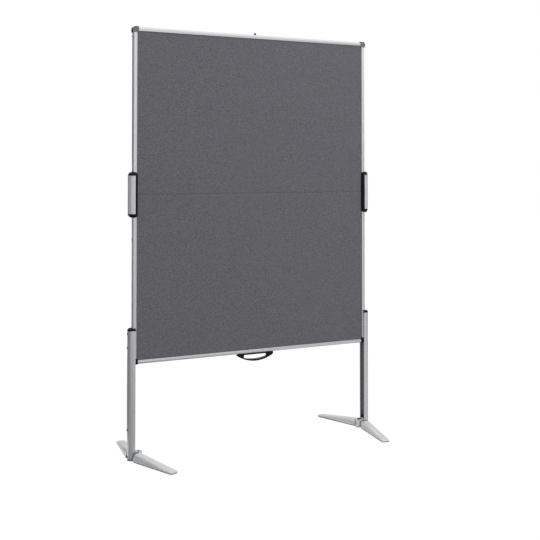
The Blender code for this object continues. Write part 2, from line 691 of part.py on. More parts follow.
def build_bracket(side_name, side, materials):
    """The block in the foot of the channel, with the top and bottom rings of the barrel."""
    place = side_place(side)
    inside = leg_inside()
    near = inside[0][0]
    far = max(u for u, _ in inside)
    bottom = LEG_GLIDE_HEIGHT + 2 * SEAT_GAP
    low = [place(u, v, bottom) for u, v in inside]
    high = [place(u, v, BRACKET_HEIGHT + BRACKET_RISE * (u - near) / (far - near)) for u, v in inside]
    bm = bmesh.new()
    add_loft(bm, [low, high])
    origin = (side * pivot_x(), 0, 0)
    bracket = finish_object("foot_bracket_" + side_name, bm, materials["cast"], origin)

    half = BRACKET_ARM_WIDTH / 2
    clear = pivot_x() + BARREL_RADIUS + BARREL_CLEARANCE
    root = RAIL_INNER + near + LEG_WALL
    web = bmesh.new()
    add_box(web, (min(side * clear, side * root), -half, bottom),
            (max(side * clear, side * root), half, BARREL_BOTTOM + BARREL_HEIGHT))
    fuse(bracket, web)
    levels = ring_levels()
    for low, high in (levels[0], levels[-1]):
        ring = bmesh.new()
        add_cylinder(ring, (side * pivot_x(), 0), BARREL_RADIUS, 2, low, high)
        fuse(bracket, ring)
        arm = bmesh.new()
        reach = pivot_x() + BARREL_RADIUS / 2
        end = clear + LEG_WALL
        narrow = half - LEG_WALL / 2
        add_box(arm, (min(side * reach, side * end), -narrow, low),
                (max(side * reach, side * end), narrow, high))
        fuse(bracket, arm)
    bore = bmesh.new()
    add_cylinder(bore, (side * pivot_x(), 0), PIVOT_PIN_RADIUS + PIVOT_BORE_CLEARANCE, 2,
                 BARREL_BOTTOM - CUT_OVERRUN, BARREL_BOTTOM + BARREL_HEIGHT + CUT_OVERRUN)
    cut(bracket, bore)

    top = BARREL_BOTTOM + BARREL_HEIGHT + SEAT_GAP
    profile = [(PIVOT_PIN_RADIUS, BARREL_BOTTOM), (PIVOT_PIN_RADIUS, top), (PIVOT_PIN_HEAD_RADIUS, top),
               (PIVOT_PIN_HEAD_RADIUS, top + PIVOT_PIN_HEAD_HEIGHT / 2),
               (PIVOT_PIN_RADIUS, top + PIVOT_PIN_HEAD_HEIGHT)]
    bm = bmesh.new()
    add_turned(bm, profile, lambda a, b, c: Vector((side * pivot_x() + a, b, c)), ROUND_STEPS)
    pin = finish_object("pivot_pin_" + side_name, bm, materials["steel"], origin)
    return [bracket, pin]


def foot_size(share):
    """Width, height, shoulder radius and crest of a foot at a share of its length."""
    base = (FOOT_BASE_WIDTH, FOOT_BASE_HEIGHT, FOOT_SHOULDER, FOOT_CREST)
    tip = (FOOT_TIP_WIDTH, FOOT_TIP_HEIGHT, FOOT_TIP_SHOULDER, FOOT_TIP_CREST)
    return [start + (end - start) * share for start, end in zip(base, tip)]


def foot_section(share, bottom, wall=0.0, squeeze=1.0):
    """Across a foot, from the inner wall over its sloped crest to the rounded outer side."""
    width, height, shoulder, crest = foot_size(share)
    left = FOOT_INNER_GAP + width * (1 - squeeze) / 2 + wall
    right = FOOT_INNER_GAP + width * (1 + squeeze) / 2 - wall
    height = SOLE_HEIGHT + (height - SOLE_HEIGHT) * squeeze - wall
    reach = max(shoulder * squeeze - wall, wall)
    points = [(left, bottom), (left, height - crest), (left + crest, height)]
    points += arc((right - reach, height - reach), (reach, reach), 90, 0)
    points.append((right, bottom))
    return points


def foot_ring(place, share, distance, bottom, wall=0.0, squeeze=1.0):
    return [place(w, distance, z) for w, z in foot_section(share, bottom, wall, squeeze)]


def box_corners(place, first, last):
    """The low and high corners of a box between two points given in a foot's own terms."""
    pairs = list(zip(place(*first), place(*last)))
    return [min(pair) for pair in pairs], [max(pair) for pair in pairs]


def build_foot(foot_name, side, face, levels, materials):
    """One foot about its pivot, pointing straight out; its parent empty turns and places it."""
    place = lambda w, s, z: Vector((side * w, face * s, z))
    run = FOOT_REACH - FOOT_START
    bottom = SOLE_HEIGHT + SEAT_GAP
    rings = []
    for share, squeeze in zip(FOOT_STATION_SHARES, FOOT_SQUEEZE_SHARES):
        rings.append(foot_ring(place, share, FOOT_START + run * share, bottom, 0.0, squeeze))
    bm = bmesh.new()
    add_loft(bm, rings)
    foot = finish_object(foot_name, bm, materials["cast"])

    edges = [FOOT_WALL / run]
    for middle in FOOT_RIB_PLACE_SHARES:
        edges += [middle - FOOT_RIB / run / 2, middle + FOOT_RIB / run / 2]
    edges.append(FOOT_STATION_SHARES[-3])
    for start, end in zip(edges[::2], edges[1::2]):
        hollow = bmesh.new()
        add_loft(hollow, [foot_ring(place, share, FOOT_START + run * share, bottom - CUT_OVERRUN, FOOT_WALL)
                          for share in (start, end)])
        cut(foot, hollow)

    neck_start = BARREL_RADIUS + FOOT_NECK_GAP
    neck = bmesh.new()
    add_box(neck, *box_corners(place, (FOOT_NECK_NEAR, neck_start, bottom),
                               (FOOT_NECK_FAR, FOOT_START + FOOT_WALL / 2,
                                BARREL_BOTTOM + BARREL_HEIGHT - FOOT_NECK_GAP)))
    fuse(foot, neck)
    for low, high in levels:
        ring = bmesh.new()
        add_cylinder(ring, (0, 0), BARREL_RADIUS, 2, low, high)
        fuse(foot, ring)
        arm = bmesh.new()
        add_box(arm, *box_corners(place, (FOOT_INNER_GAP, 0, low),
                                  (FOOT_ARM_WIDTH, neck_start + FOOT_NECK_GAP, high)))
        fuse(foot, arm)
    bore = bmesh.new()
    add_cylinder(bore, (0, 0), PIVOT_PIN_RADIUS + PIVOT_BORE_CLEARANCE, 2,
                 -CUT_OVERRUN, FOOT_BASE_HEIGHT + CUT_OVERRUN)
    cut(foot, bore)

    outline = []
    for share, squeeze in zip(FOOT_STATION_SHARES, FOOT_SQUEEZE_SHARES):
        section = foot_section(share, 0, SOLE_INSET, squeeze)
        distance = FOOT_START + SOLE_INSET + (run - 2 * SOLE_INSET) * share
        outline.append((section[0][0], section[-1][0], distance))
    loop = [(left, s) for left, _, s in outline] + [(right, s) for _, right, s in reversed(outline)]
    bm = bmesh.new()
    add_prism(bm, loop, place, 0, SOLE_HEIGHT)
    sole = finish_object(foot_name + "_sole", bm, materials["rubber"])
    return [foot, sole]


# Carry handle
def handle_drop(a, inset=0.0):
    """How far down the grip's round lower edge is at a distance from the middle."""
    half = HANDLE_LENGTH / 2
    rise = HANDLE_DROP - HANDLE_END_DROP
    radius = (half * half + rise * rise) / (2 * rise)
    return HANDLE_DROP - radius + math.sqrt(radius * radius - a * a) - inset


def strap_thickness(a):
    """The strap thins from the middle of the grip to the ends of the window."""
    share = a / (HANDLE_LENGTH / 2 - HANDLE_END_BLOCK)
    return HANDLE_STRAP + (HANDLE_STRAP_END - HANDLE_STRAP) * share * share


def spaced(start, end, steps):
    return [start + (end - start) * i / steps for i in range(steps + 1)]


def build_handle(material):
    """A moulded grip, round below, under the bottom rail, with a finger window."""
    top = BOARD_UNDERSIDE - SEAT_GAP
    half = HANDLE_LENGTH / 2
    place = lambda a, b, c: Vector((a, c, -b))
    outline = [(-half, 0)] + [(a, handle_drop(a)) for a in spaced(-half, half, HANDLE_ARC_STEPS)]
    outline += [(half, 0)]
    reach = half - HANDLE_END_BLOCK
    corner = HANDLE_WINDOW_ROUND
    window = [(-reach, HANDLE_PLATE + corner), (corner - reach, HANDLE_PLATE),
              (reach - corner, HANDLE_PLATE), (reach, HANDLE_PLATE + corner)]
    low_end = handle_drop(reach, HANDLE_STRAP_END) - corner
    window += [(reach, low_end)]
    window += [(a, handle_drop(a, strap_thickness(a)))
               for a in spaced(reach - corner, corner - reach, HANDLE_ARC_STEPS)]
    window += [(-reach, low_end)]
    bm = bmesh.new()
    add_prism(bm, outline, place, -HANDLE_DEPTH / 2, HANDLE_DEPTH / 2, [window])
    handle = finish_object("carry_handle", bm, material)
    near = reach + HANDLE_POCKET_RIM
    far = half - HANDLE_POCKET_RIM
    for sign in (-1, 1):
        dish = [(sign * far, HANDLE_PLATE), (sign * near, HANDLE_PLATE)]
        dish += [(a, handle_drop(a, HANDLE_POCKET_RIM))
                 for a in spaced(sign * near, sign * far, ARC_STEPS)]
        for face in (-1, 1):
            pocket = bmesh.new()
            add_prism(pocket, dish, place, face * (HANDLE_DEPTH / 2 - HANDLE_POCKET_DEPTH),
                      face * (HANDLE_DEPTH / 2 + CUT_OVERRUN))
            cut(handle, pocket)
    handle.location.z = top
    bevel = handle.modifiers.new("edge_round", "BEVEL")
    bevel.width = HANDLE_EDGE_ROUND
    bevel.segments = 2
    bevel.limit_method = "ANGLE"
    bevel.angle_limit = math.radians(50)
    return handle


# Assembly
def make_group(name, origin, members, angle=None):
    """An empty on a joint's axis that carries the pieces of one moving body."""
    empty = bpy.data.objects.new(name, None)
    empty.empty_display_size = BARREL_RADIUS
    empty.location = origin
    bpy.context.scene.collection.objects.link(empty)
    if angle is not None:
        empty.rotation_euler.z = angle
    bpy.context.view_layer.update()
    for member in members:
        member.parent = empty
        if angle is None:
            member.matrix_parent_inverse = empty.matrix_world.inverted()
    return empty


def build_lower_half(materials):
    rail_edge = BOARD_UNDERSIDE + RAIL_FACE - RAIL_SLOT_DEPTH + SEAT_GAP
    fold_edge = FOLD_HEIGHT - FOLD_GAP / 2
    build_panel("lower", fold_edge, rail_edge, materials)
    build_cross_rail("bottom_rail", -1, BOARD_UNDERSIDE, materials["silver"])
    start = BOARD_UNDERSIDE + CORNER_CAP_LEG + SEAT_GAP
    for side_name, side in SIDES.items():
        build_side_rail("lower_rail_" + side_name, side, start, fold_edge, materials["silver"])
        build_corner_cap("bottom_corner_cap_" + side_name, side, -1, BOARD_UNDERSIDE, materials["black"])
    build_handle(materials["black"])


def build_upper_half(materials):
    rail_edge = BOARD_TOP - RAIL_FACE + RAIL_SLOT_DEPTH - SEAT_GAP
    fold_edge = FOLD_HEIGHT + FOLD_GAP / 2
    build_panel("upper", fold_edge, rail_edge, materials)
    build_cross_rail("top_rail", 1, BOARD_TOP, materials["silver"])
    end = BOARD_TOP - CORNER_CAP_LEG - SEAT_GAP
    for side_name, side in SIDES.items():
        rail = build_side_rail("upper_rail_" + side_name, side, fold_edge, end, materials["silver"])
        build_corner_cap("top_corner_cap_" + side_name, side, 1, BOARD_TOP, materials["grey_cap"])
        build_rail_screw("rail_screw_" + side_name, side, rail, materials["black"])
    build_catch_stud(materials["black"])


def main():
    clear_scene()
    materials = make_materials()
    build_lower_half(materials)
    lower = list(bpy.data.objects)
    build_upper_half(materials)
    for side_name, side in SIDES.items():
        build_hinge(side_name, side, materials)
    upper = [obj for obj in bpy.data.objects if obj not in lower
             and not obj.name.startswith(("lower_hinge_leaf", "hinge_pin"))]
    folding = make_group("upper_half", (0, HINGE_AXIS_DEPTH, FOLD_HEIGHT), upper)
    levels = ring_levels()
    for side_name, side in SIDES.items():
        sleeve = make_group("sleeve_" + side_name, (side * HALF_WIDTH, 0, FOLD_HEIGHT),
                            build_sleeve(side_name, side, materials))
        sleeve.parent = folding
        sleeve.matrix_parent_inverse = folding.matrix_world.inverted()
        pieces = build_leg(side_name, side, materials) + build_bracket(side_name, side, materials)
        leg = make_group("leg_" + side_name, (side * HALF_WIDTH, 0, 0), pieces)
        for face_name, face, rings in (("front", -1, (1, 3)), ("rear", 1, (2, 4))):
            angle = FOOT_ANGLES[face_name + "_" + side_name]
            foot_name = "foot_" + face_name + "_" + side_name
            members = build_foot(foot_name, side, face, [levels[i] for i in rings], materials)
            swing = make_group(foot_name + "_pivot", (side * pivot_x(), 0, 0), members,
                               side * face * angle)
            swing.parent = leg
            swing.matrix_parent_inverse = leg.matrix_world.inverted()


main()
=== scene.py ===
import json
import math

import bmesh
import bpy
from mathutils import Matrix, Vector, noise

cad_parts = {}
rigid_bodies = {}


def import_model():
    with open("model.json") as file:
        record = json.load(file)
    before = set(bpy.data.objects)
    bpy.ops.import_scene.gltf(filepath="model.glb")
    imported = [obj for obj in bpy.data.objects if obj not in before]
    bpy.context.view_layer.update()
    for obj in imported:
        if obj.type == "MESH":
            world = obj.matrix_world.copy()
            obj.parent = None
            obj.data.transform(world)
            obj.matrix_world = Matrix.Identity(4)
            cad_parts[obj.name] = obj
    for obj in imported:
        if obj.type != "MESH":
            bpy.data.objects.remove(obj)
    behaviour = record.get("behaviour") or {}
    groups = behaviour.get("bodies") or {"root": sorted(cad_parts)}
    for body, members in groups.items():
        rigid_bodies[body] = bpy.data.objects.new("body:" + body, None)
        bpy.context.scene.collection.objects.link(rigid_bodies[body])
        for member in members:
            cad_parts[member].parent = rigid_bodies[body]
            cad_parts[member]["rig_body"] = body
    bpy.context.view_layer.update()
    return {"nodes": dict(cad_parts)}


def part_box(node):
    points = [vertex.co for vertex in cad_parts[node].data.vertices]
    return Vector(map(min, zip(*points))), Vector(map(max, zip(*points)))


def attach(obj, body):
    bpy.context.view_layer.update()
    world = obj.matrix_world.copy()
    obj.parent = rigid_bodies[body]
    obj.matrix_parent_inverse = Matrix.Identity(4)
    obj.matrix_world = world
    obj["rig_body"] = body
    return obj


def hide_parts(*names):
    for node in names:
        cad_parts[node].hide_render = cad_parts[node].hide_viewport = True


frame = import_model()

nodes = frame["nodes"]


# The view. The camera stands to the left of the board and in front of it, at two thirds of its
# height, and looks almost level. The lens is shifted down, which brings the feet into the picture.
PICTURE_WIDTH = 540
FOCAL_PIXELS = 895.7
LEVEL_LINE = 147.3
SENSOR_WIDTH = 36.0
VIEW_DEPTH = 60
CAMERA_PLACE = Vector((-1.761, -3.862, 1.287))
CAMERA_YAW = math.radians(25.475)
CAMERA_PITCH = math.radians(1.34)

lens = bpy.data.cameras.new("photo_camera")
lens.sensor_width = SENSOR_WIDTH
lens.lens = FOCAL_PIXELS / PICTURE_WIDTH * SENSOR_WIDTH
lens.shift_y = (LEVEL_LINE - PICTURE_WIDTH / 2) / PICTURE_WIDTH
lens.clip_end = VIEW_DEPTH
camera = bpy.data.objects.new("photo_camera", lens)
camera.location = CAMERA_PLACE
looking = Vector((math.sin(CAMERA_YAW) * math.cos(CAMERA_PITCH),
                  math.cos(CAMERA_YAW) * math.cos(CAMERA_PITCH), math.sin(CAMERA_PITCH)))
camera.rotation_euler = looking.to_track_quat("-Z", "Y").to_euler()
bpy.context.scene.collection.objects.link(camera)
bpy.context.scene.camera = camera
bpy.context.scene.view_settings.view_transform = "Standard"


# The studio. A pale paper sweep lies under the pinboard, and two large soft lamps hang in front of
# it and above. Grey cloth cards round it and on the floor keep the metal from washing out.
def linear(colour):
    """An sRGB hex value as the linear colour that a shader's socket takes."""
    channels = [int(colour[i:i + 2], 16) / 255 for i in (1, 3, 5)]
    return [c / 12.92 if c <= 0.04045 else ((c + 0.055) / 1.055) ** 2.4 for c in channels] + [1.0]


def add_node(tree, kind, inputs=None, **settings):
    """Adds a node with its settings; each input takes a value or a link from another node."""
    node = tree.nodes.new(kind)
    for name, value in settings.items():
        setattr(node, name, value)
    for name, value in (inputs or {}).items():
        if isinstance(value, bpy.types.NodeSocket):
            tree.links.new(value, node.inputs[name])
        else:
            node.inputs[name].default_value = value
    return node


def seen_straight(tree):
    """1 for camera, glossy and transmission rays, and 0 for the rays that carry light."""
    path = add_node(tree, "ShaderNodeLightPath").outputs
    either = add_node(tree, "ShaderNodeMath", {0: path["Is Camera Ray"], 1: path["Is Glossy Ray"]},
                      operation="MAXIMUM")
    return add_node(tree, "ShaderNodeMath", {0: either.outputs[0], 1: path["Is Transmission Ray"]},
                    operation="MAXIMUM").outputs[0]


STUDIO_COLOUR = "#ffffff"
STUDIO_STRENGTH = 0.47
BACKDROP_STRENGTH = 1.0

world = bpy.data.worlds.new("studio")
world.use_nodes = True
bpy.context.scene.world = world
tree = world.node_tree
tree.nodes.clear()
room = add_node(tree, "ShaderNodeBackground", {"Color": linear(STUDIO_COLOUR),
                                               "Strength": STUDIO_STRENGTH})
backdrop = add_node(tree, "ShaderNodeBackground", {"Color": linear(STUDIO_COLOUR),
                                                   "Strength": BACKDROP_STRENGTH})
both = add_node(tree, "ShaderNodeMixShader", {0: seen_straight(tree), 1: room.outputs[0],
                                             2: backdrop.outputs[0]})
add_node(tree, "ShaderNodeOutputWorld", {"Surface": both.outputs[0]})

FLOOR_SIZE = 30.0
FLOOR_COLOUR = "#f4f4f4"
FLOOR_STRENGTH = 1.08
FLOOR_NEAR = 0.9
FLOOR_FAR = 2.6
FLOOR_NEAR_WHITE = 0.88

# Matt white paper: it takes the shadows near the pinboard, and fades to plain white far from it
floor_mesh = bpy.data.meshes.new("studio_floor")
half = FLOOR_SIZE / 2
floor_mesh.from_pydata([(-half, -half, 0), (half, -half, 0), (half, half, 0), (-half, half, 0)], [],
                       [(0, 1, 2, 3)])
floor = bpy.data.objects.new("studio_floor", floor_mesh)
bpy.context.scene.collection.objects.link(floor)
paper = bpy.data.materials.new("matt_white_sweep")
paper.use_nodes = True
tree = paper.node_tree
tree.nodes.clear()
matt = add_node(tree, "ShaderNodeBsdfDiffuse", {"Color": linear(FLOOR_COLOUR)})
white = add_node(tree, "ShaderNodeEmission", {"Color": linear(STUDIO_COLOUR),
                                              "Strength": FLOOR_STRENGTH})
from_middle = add_node(tree, "ShaderNodeVectorMath",
                       {0: add_node(tree, "ShaderNodeTexCoord").outputs["Object"]},
                       operation="LENGTH")
share = add_node(tree, "ShaderNodeMapRange", {"Value": from_middle.outputs["Value"],
                                              "From Min": FLOOR_NEAR, "From Max": FLOOR_FAR,
                                              "To Min": FLOOR_NEAR_WHITE, "To Max": 1.0})
share = add_node(tree, "ShaderNodeMath", {0: seen_straight(tree), 1: share.outputs["Result"]},
                 operation="MULTIPLY")
mixed = add_node(tree, "ShaderNodeMixShader", {0: share.outputs[0], 1: matt.outputs[0],
                                              2: white.outputs[0]})
add_node(tree, "ShaderNodeOutputMaterial", {"Surface": mixed.outputs[0]})
floor_mesh.materials.append(paper)

# Each lamp's place, the point it faces, its width in metres and its power in watts
LAMPS = {
    "front_soft_box": ((1.6, -4.8, 3.2), (0, 0, 1.0), 3.2, 94.0),
    "overhead_soft_box": ((0.4, -0.8, 4.2), (0, 0, 1.0), 2.4, 40.0),
}
for name, (place, target, size, power) in LAMPS.items():
    lamp = bpy.data.lights.new(name, "AREA")
    lamp.size = size
    lamp.energy = power
    holder = bpy.data.objects.new(name, lamp)
    holder.location = place
    holder.rotation_euler = (Vector(target) - Vector(place)).to_track_quat("-Z", "Y").to_euler()
    holder.visible_glossy = False
    bpy.context.scene.collection.objects.link(holder)

DARK_CARD = "#58585a"
CARD_LIFT = 0.002
LEG_SIDE = -0.86
CENTRE_SIDE = 0.2

# Matt cloth cards that only glossy surfaces see, each as the line of one edge, the way from it to
# the opposite edge, and a colour: upright ones at both sides, behind and in front, and four that
# lie on the floor, darkest at the left and behind, and pale in front
CARDS = {
    "side_card": ([(-3.2, -1.6, 0.0), (-3.2, 1.2, 0.0), (-1.6, 3.0, 0.0)], (0, 0, 2.7), DARK_CARD),
    "back_card": ([(-1.6, 3.0, 1.3), (0.5, 3.2, 1.3)], (0, 0, 1.4), DARK_CARD),
    "right_card": ([(3.4, -1.6, 0.0), (3.4, 1.2, 0.0), (2.5, 2.9, 0.0)], (0, 0, 1.6), DARK_CARD),
    "front_card": ([(1.9, -5.6, 0.0), (5.4, -4.0, 0.0)], (0, 0, 1.9), "#7a7a7c"),
    "left_floor_card": ([(-4.0, 2.4, CARD_LIFT), (LEG_SIDE, 2.4, CARD_LIFT)], (0, -7.4, 0),
                        DARK_CARD),
    "rear_floor_card": ([(LEG_SIDE, 2.4, CARD_LIFT), (CENTRE_SIDE, 2.4, CARD_LIFT)],
                        (0, -2.0, 0), DARK_CARD),
    "near_floor_card": ([(LEG_SIDE, 0.0, CARD_LIFT), (CENTRE_SIDE, 0.0, CARD_LIFT)],
                        (0, -5.0, 0), "#727274"),
    "front_floor_card": ([(CENTRE_SIDE, 1.2, CARD_LIFT), (5.0, 1.2, CARD_LIFT)], (0, -6.2, 0),
                         "#dadadc"),
}
for name, (line, rise, colour) in CARDS.items():
    card_cloth = bpy.data.materials.new(name + "_cloth")
    card_cloth.use_nodes = True
    shader = card_cloth.node_tree.nodes["Principled BSDF"]
    shader.inputs["Base Color"].default_value = linear(colour)
    shader.inputs["Roughness"].default_value = 1.0
    mesh = bpy.data.meshes.new(name)
    line = [Vector(point) for point in line]
    count = len(line)
    mesh.from_pydata(line + [point + Vector(rise) for point in line], [],
                     [(i, i + 1, count + i + 1, count + i) for i in range(count - 1)])
    mesh.materials.append(card_cloth)
    card = bpy.data.objects.new(name, mesh)
    bpy.context.scene.collection.objects.link(card)
    card.visible_camera = False
    card.visible_diffuse = False
    card.visible_shadow = False


# The core boards. Each half of the board is a soft, pale brown fibreboard that takes the pins.
# Only its cut edge at the fold is ever seen, where short fibres and dark flecks show.
GRAIN_LOW = 0.3
GRAIN_HIGH = 0.7
RELIEF_STRENGTH = 0.6


def grain(tree, size, detail, stretch=(1, 1, 1)):
    """A noise with lumps of a size in metres, stretched along the axes of the piece."""
    place = add_node(tree, "ShaderNodeTexCoord")
    scaled = add_node(tree, "ShaderNodeMapping", {
        "Vector": place.outputs["Object"], "Scale": [1 / (size * share) for share in stretch]})
    return add_node(tree, "ShaderNodeTexNoise", {"Vector": scaled.outputs["Vector"], "Scale": 1.0,
                                                 "Detail": detail}).outputs["Fac"]


def new_material(name, dark, light, tint, skin, height, rough, sockets=None):
    """Two colours mixed by one grain, a relief by another, and a roughness that wanders.

    Each grain, the tint of the colours and the skin of the relief, is given by its size in metres,
    its detail and its stretch. The height of the relief is in metres too.
    """
    material = bpy.data.materials.new(name)
    material.use_nodes = True
    tree = material.node_tree
    shader = tree.nodes["Principled BSDF"]
    for socket, value in (sockets or {}).items():
        shader.inputs[socket].default_value = value
    cloud = grain(tree, *tint)
    share = add_node(tree, "ShaderNodeMapRange", {"Value": cloud, "From Min": GRAIN_LOW,
                                                  "From Max": GRAIN_HIGH})
    colour = add_node(tree, "ShaderNodeMix", {0: share.outputs[0], 6: linear(dark),
                                              7: linear(light)}, data_type="RGBA")
    uneven = add_node(tree, "ShaderNodeMapRange", {"Value": cloud, "From Min": GRAIN_LOW,
                                                   "From Max": GRAIN_HIGH,
                                                   "To Min": rough[0], "To Max": rough[1]})
    bump = add_node(tree, "ShaderNodeBump", {"Height": grain(tree, *skin), "Distance": height,
                                             "Strength": RELIEF_STRENGTH})
    tree.links.new(colour.outputs[2], shader.inputs["Base Color"])
    tree.links.new(uneven.outputs[0], shader.inputs["Roughness"])
    tree.links.new(bump.outputs[0], shader.inputs["Normal"])
    return material


FIBRE_WIDTH = 0.001
FIBRES = (FIBRE_WIDTH, 4.0, (4, 1, 1))

# Pressed wood fibre: short pale fibres lie flat among dark flecks, drawn coarser than they are
fibreboard = new_material("pressed_fibreboard", "#8b7152", "#b89c77", tint=FIBRES, skin=FIBRES,
                          height=0.0004, rough=(0.85, 0.95))
for half_name in ("lower", "upper"):
    core_mesh = nodes[half_name + "_core_panel"].data
    core_mesh.materials.clear()
    core_mesh.materials.append(fibreboard)


# The felt faces. A needled polyester felt, two millimetres thick, is glued flat to both faces of
# each board, turned in at the fold, and runs into the slots of the rails.
FELT_THICKNESS = 0.002
FELT_RELIEF = 0.00012
FELT_LUMPS_PER_METRE = 40
FELT_TURN = 0.0012
FELT_TURN_DEPTH = 0.0009
FELT_FOLD_REACH = 0.0004
FELT_COLUMNS = 96
FELT_ROWS = 60
FELT_SHARP_ANGLE = math.radians(60)
MOTTLE_SIZE = 0.0045
MOTTLE_LOW = 0.78
MOTTLE_HIGH = 1.32
HAIR_WIDTH = 0.0007
HAIR_LENGTH = 0.005
HAIR_HEIGHT = 0.0003
HAIR_STRENGTH = 0.7

# Needled felt: matt and even from afar, with a soft mottle and hairs that lie every way. The real
# hairs are a tenth as wide, and these are drawn coarse enough to show
felt = bpy.data.materials.new("needled_polyester_felt")
felt.use_nodes = True
tree = felt.node_tree
shader = tree.nodes["Principled BSDF"]
for socket, value in {"Roughness": 0.97, "Sheen Weight": 0.1, "Sheen Roughness": 0.6,
                      "Specular IOR Level": 0.2}.items():
    shader.inputs[socket].default_value = value
flat_hairs = grain(tree, HAIR_WIDTH, 2.0, (HAIR_LENGTH / HAIR_WIDTH, 1, 1))
upright_hairs = grain(tree, HAIR_WIDTH, 2.0, (1, 1, HAIR_LENGTH / HAIR_WIDTH))
hairs = add_node(tree, "ShaderNodeMath", {0: flat_hairs, 1: upright_hairs},
                 operation="MAXIMUM").outputs[0]
mottled = add_node(tree, "ShaderNodeMath", {0: hairs, 1: grain(tree, MOTTLE_SIZE, 3.0)},
                   operation="ADD")
share = add_node(tree, "ShaderNodeMapRange", {"Value": mottled.outputs[0], "From Min": MOTTLE_LOW,
                                              "From Max": MOTTLE_HIGH})
colour = add_node(tree, "ShaderNodeMix", {0: share.outputs[0], 6: linear("#49484e"),
                                          7: linear("#77767c")}, data_type="RGBA")
bump = add_node(tree, "ShaderNodeBump", {"Height": hairs, "Distance": HAIR_HEIGHT,
                                         "Strength": HAIR_STRENGTH})
tree.links.new(colour.outputs[2], shader.inputs["Base Color"])
tree.links.new(bump.outputs[0], shader.inputs["Normal"])


def new_piece(name, mesh, material, body, replaced=()):
    """Links a mesh as a piece that rides on a body and stands for CAD nodes."""
    mesh.materials.clear()
    mesh.materials.append(material)
    piece = bpy.data.objects.new(name, mesh)
    bpy.context.scene.collection.objects.link(piece)
    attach(piece, body)
    if replaced:
        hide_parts(*replaced)
    return piece


def spaced(low, high, count):
    """Evenly spaced places with one more close to each end, where the felt turns in."""
    return [low, low + FELT_TURN] + [low + (high - low) * i / count for i in range(1, count)] + \
           [high - FELT_TURN, high]


def felt_face(half_name, face, sign):
    """A thin slab of felt: a grid with a faint relief outside, and a plain back and rim."""
    node = half_name + "_" + face + "_felt"
    low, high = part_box(node)
    outer = low.y if sign < 0 else high.y
    fold_low = FELT_FOLD_REACH if half_name == "upper" else 0
    fold_high = FELT_FOLD_REACH if half_name == "lower" else 0
    across = spaced(low.x, high.x, FELT_COLUMNS)
    upward = spaced(low.z - fold_low, high.z + fold_high, FELT_ROWS)
    wide = len(across)
    last = len(upward) - 1
    bm = bmesh.new()
    fronts = []
    backs = {}
    for row, z in enumerate(upward):
        for column, x in enumerate(across):
            rim = row in (0, last) or column in (0, wide - 1)
            lumps = noise.noise(Vector((x, sign, z)) * FELT_LUMPS_PER_METRE) * 0.5 + 0.5
            dip = FELT_TURN_DEPTH if rim else FELT_RELIEF * lumps
            if rim:
                backs[len(fronts)] = bm.verts.new((x, outer - sign * FELT_THICKNESS, z))
            fronts.append(bm.verts.new((x, outer - sign * dip, z)))
    for row in range(last):
        for i in range(row * wide, row * wide + wide - 1):
            bm.faces.new((fronts[i], fronts[i + 1], fronts[i + 1 + wide], fronts[i + wide]))
    rim = list(range(wide)) + [row * wide + wide - 1 for row in range(1, last + 1)]
    rim += list(range(last * wide + wide - 2, last * wide - 1, -1))
    rim += [row * wide for row in range(last - 1, 0, -1)]
    for i, j in zip(rim, rim[1:] + rim[:1]):
        bm.faces.new((fronts[j], fronts[i], backs[i], backs[j]))
    bm.faces.new([backs[i] for i in reversed(rim)])
    bmesh.ops.recalc_face_normals(bm, faces=bm.faces)
    mesh = bpy.data.meshes.new(node + "_face")
    bm.to_mesh(mesh)
    bm.free()
    mesh.shade_smooth()
    mesh.set_sharp_from_angle(angle=FELT_SHARP_ANGLE)
    piece = new_piece(mesh.name, mesh, felt, half_name + "_half", [node])


for half_name in ("lower", "upper"):
    felt_face(half_name, "front", -1)
    felt_face(half_name, "rear", 1)


# The frame rails. Six hollow aluminium extrusions, sawn square and clear anodised, with a flat
# face, a round outer side and a slot for the board. Fine die lines run along each of them.
DIE_LINE = 0.0009
DIE_LINE_LENGTH = 0.4
DIE_LINE_HEIGHT = 0.00006
UPRIGHT = (1, 1, DIE_LINE_LENGTH / DIE_LINE)
LEVEL = (DIE_LINE_LENGTH / DIE_LINE, 1, 1)
MERGE_REACH = 0.000002
FLAT_ANGLE = math.radians(0.5)
SHARP_ANGLE = math.radians(32)
EDGE_ANGLE = math.radians(40)
EDGE_STEPS = 2
SAWN_EDGE = 0.0004
FINE_EDGE = 0.0003
FALL_REACH = 0.0085
FALL_DEPTH = 0.0014
CUT_REACH = 0.00001
RIM_REACH = 0.00002


def merged(node):
    """A CAD solid's mesh as a bmesh whose triangles are joined up and whose flats are whole."""
    bm = bmesh.new()
    bm.from_mesh(nodes[node].data)
    bmesh.ops.remove_doubles(bm, verts=bm.verts, dist=MERGE_REACH)
    bmesh.ops.dissolve_limit(bm, angle_limit=FLAT_ANGLE, verts=bm.verts, edges=bm.edges)
    bmesh.ops.recalc_face_normals(bm, faces=bm.faces)
    return bm


def finished(bm, name, material, body, replaced=(), edge=SAWN_EDGE):
    """A smooth piece from a bmesh, with its sharp edges broken by a small bevel."""
    mesh = bpy.data.meshes.new(name)
    bm.to_mesh(mesh)
    bm.free()
    mesh.shade_smooth()
    mesh.set_sharp_from_angle(angle=SHARP_ANGLE)
    piece = new_piece(name, mesh, material, body, replaced)
    if edge:
        broken = piece.modifiers.new("broken_edges", "BEVEL")
        broken.width = edge
        broken.segments = EDGE_STEPS
        broken.limit_method = "ANGLE"
        broken.angle_limit = EDGE_ANGLE
        broken.harden_normals = True
    return piece


def dressed(node, material, edge=SAWN_EDGE):
    """A merged, smooth copy of a CAD solid that stands for it."""
    return finished(merged(node), node + "_finished", material, nodes[node]["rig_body"],
                    [node], edge)


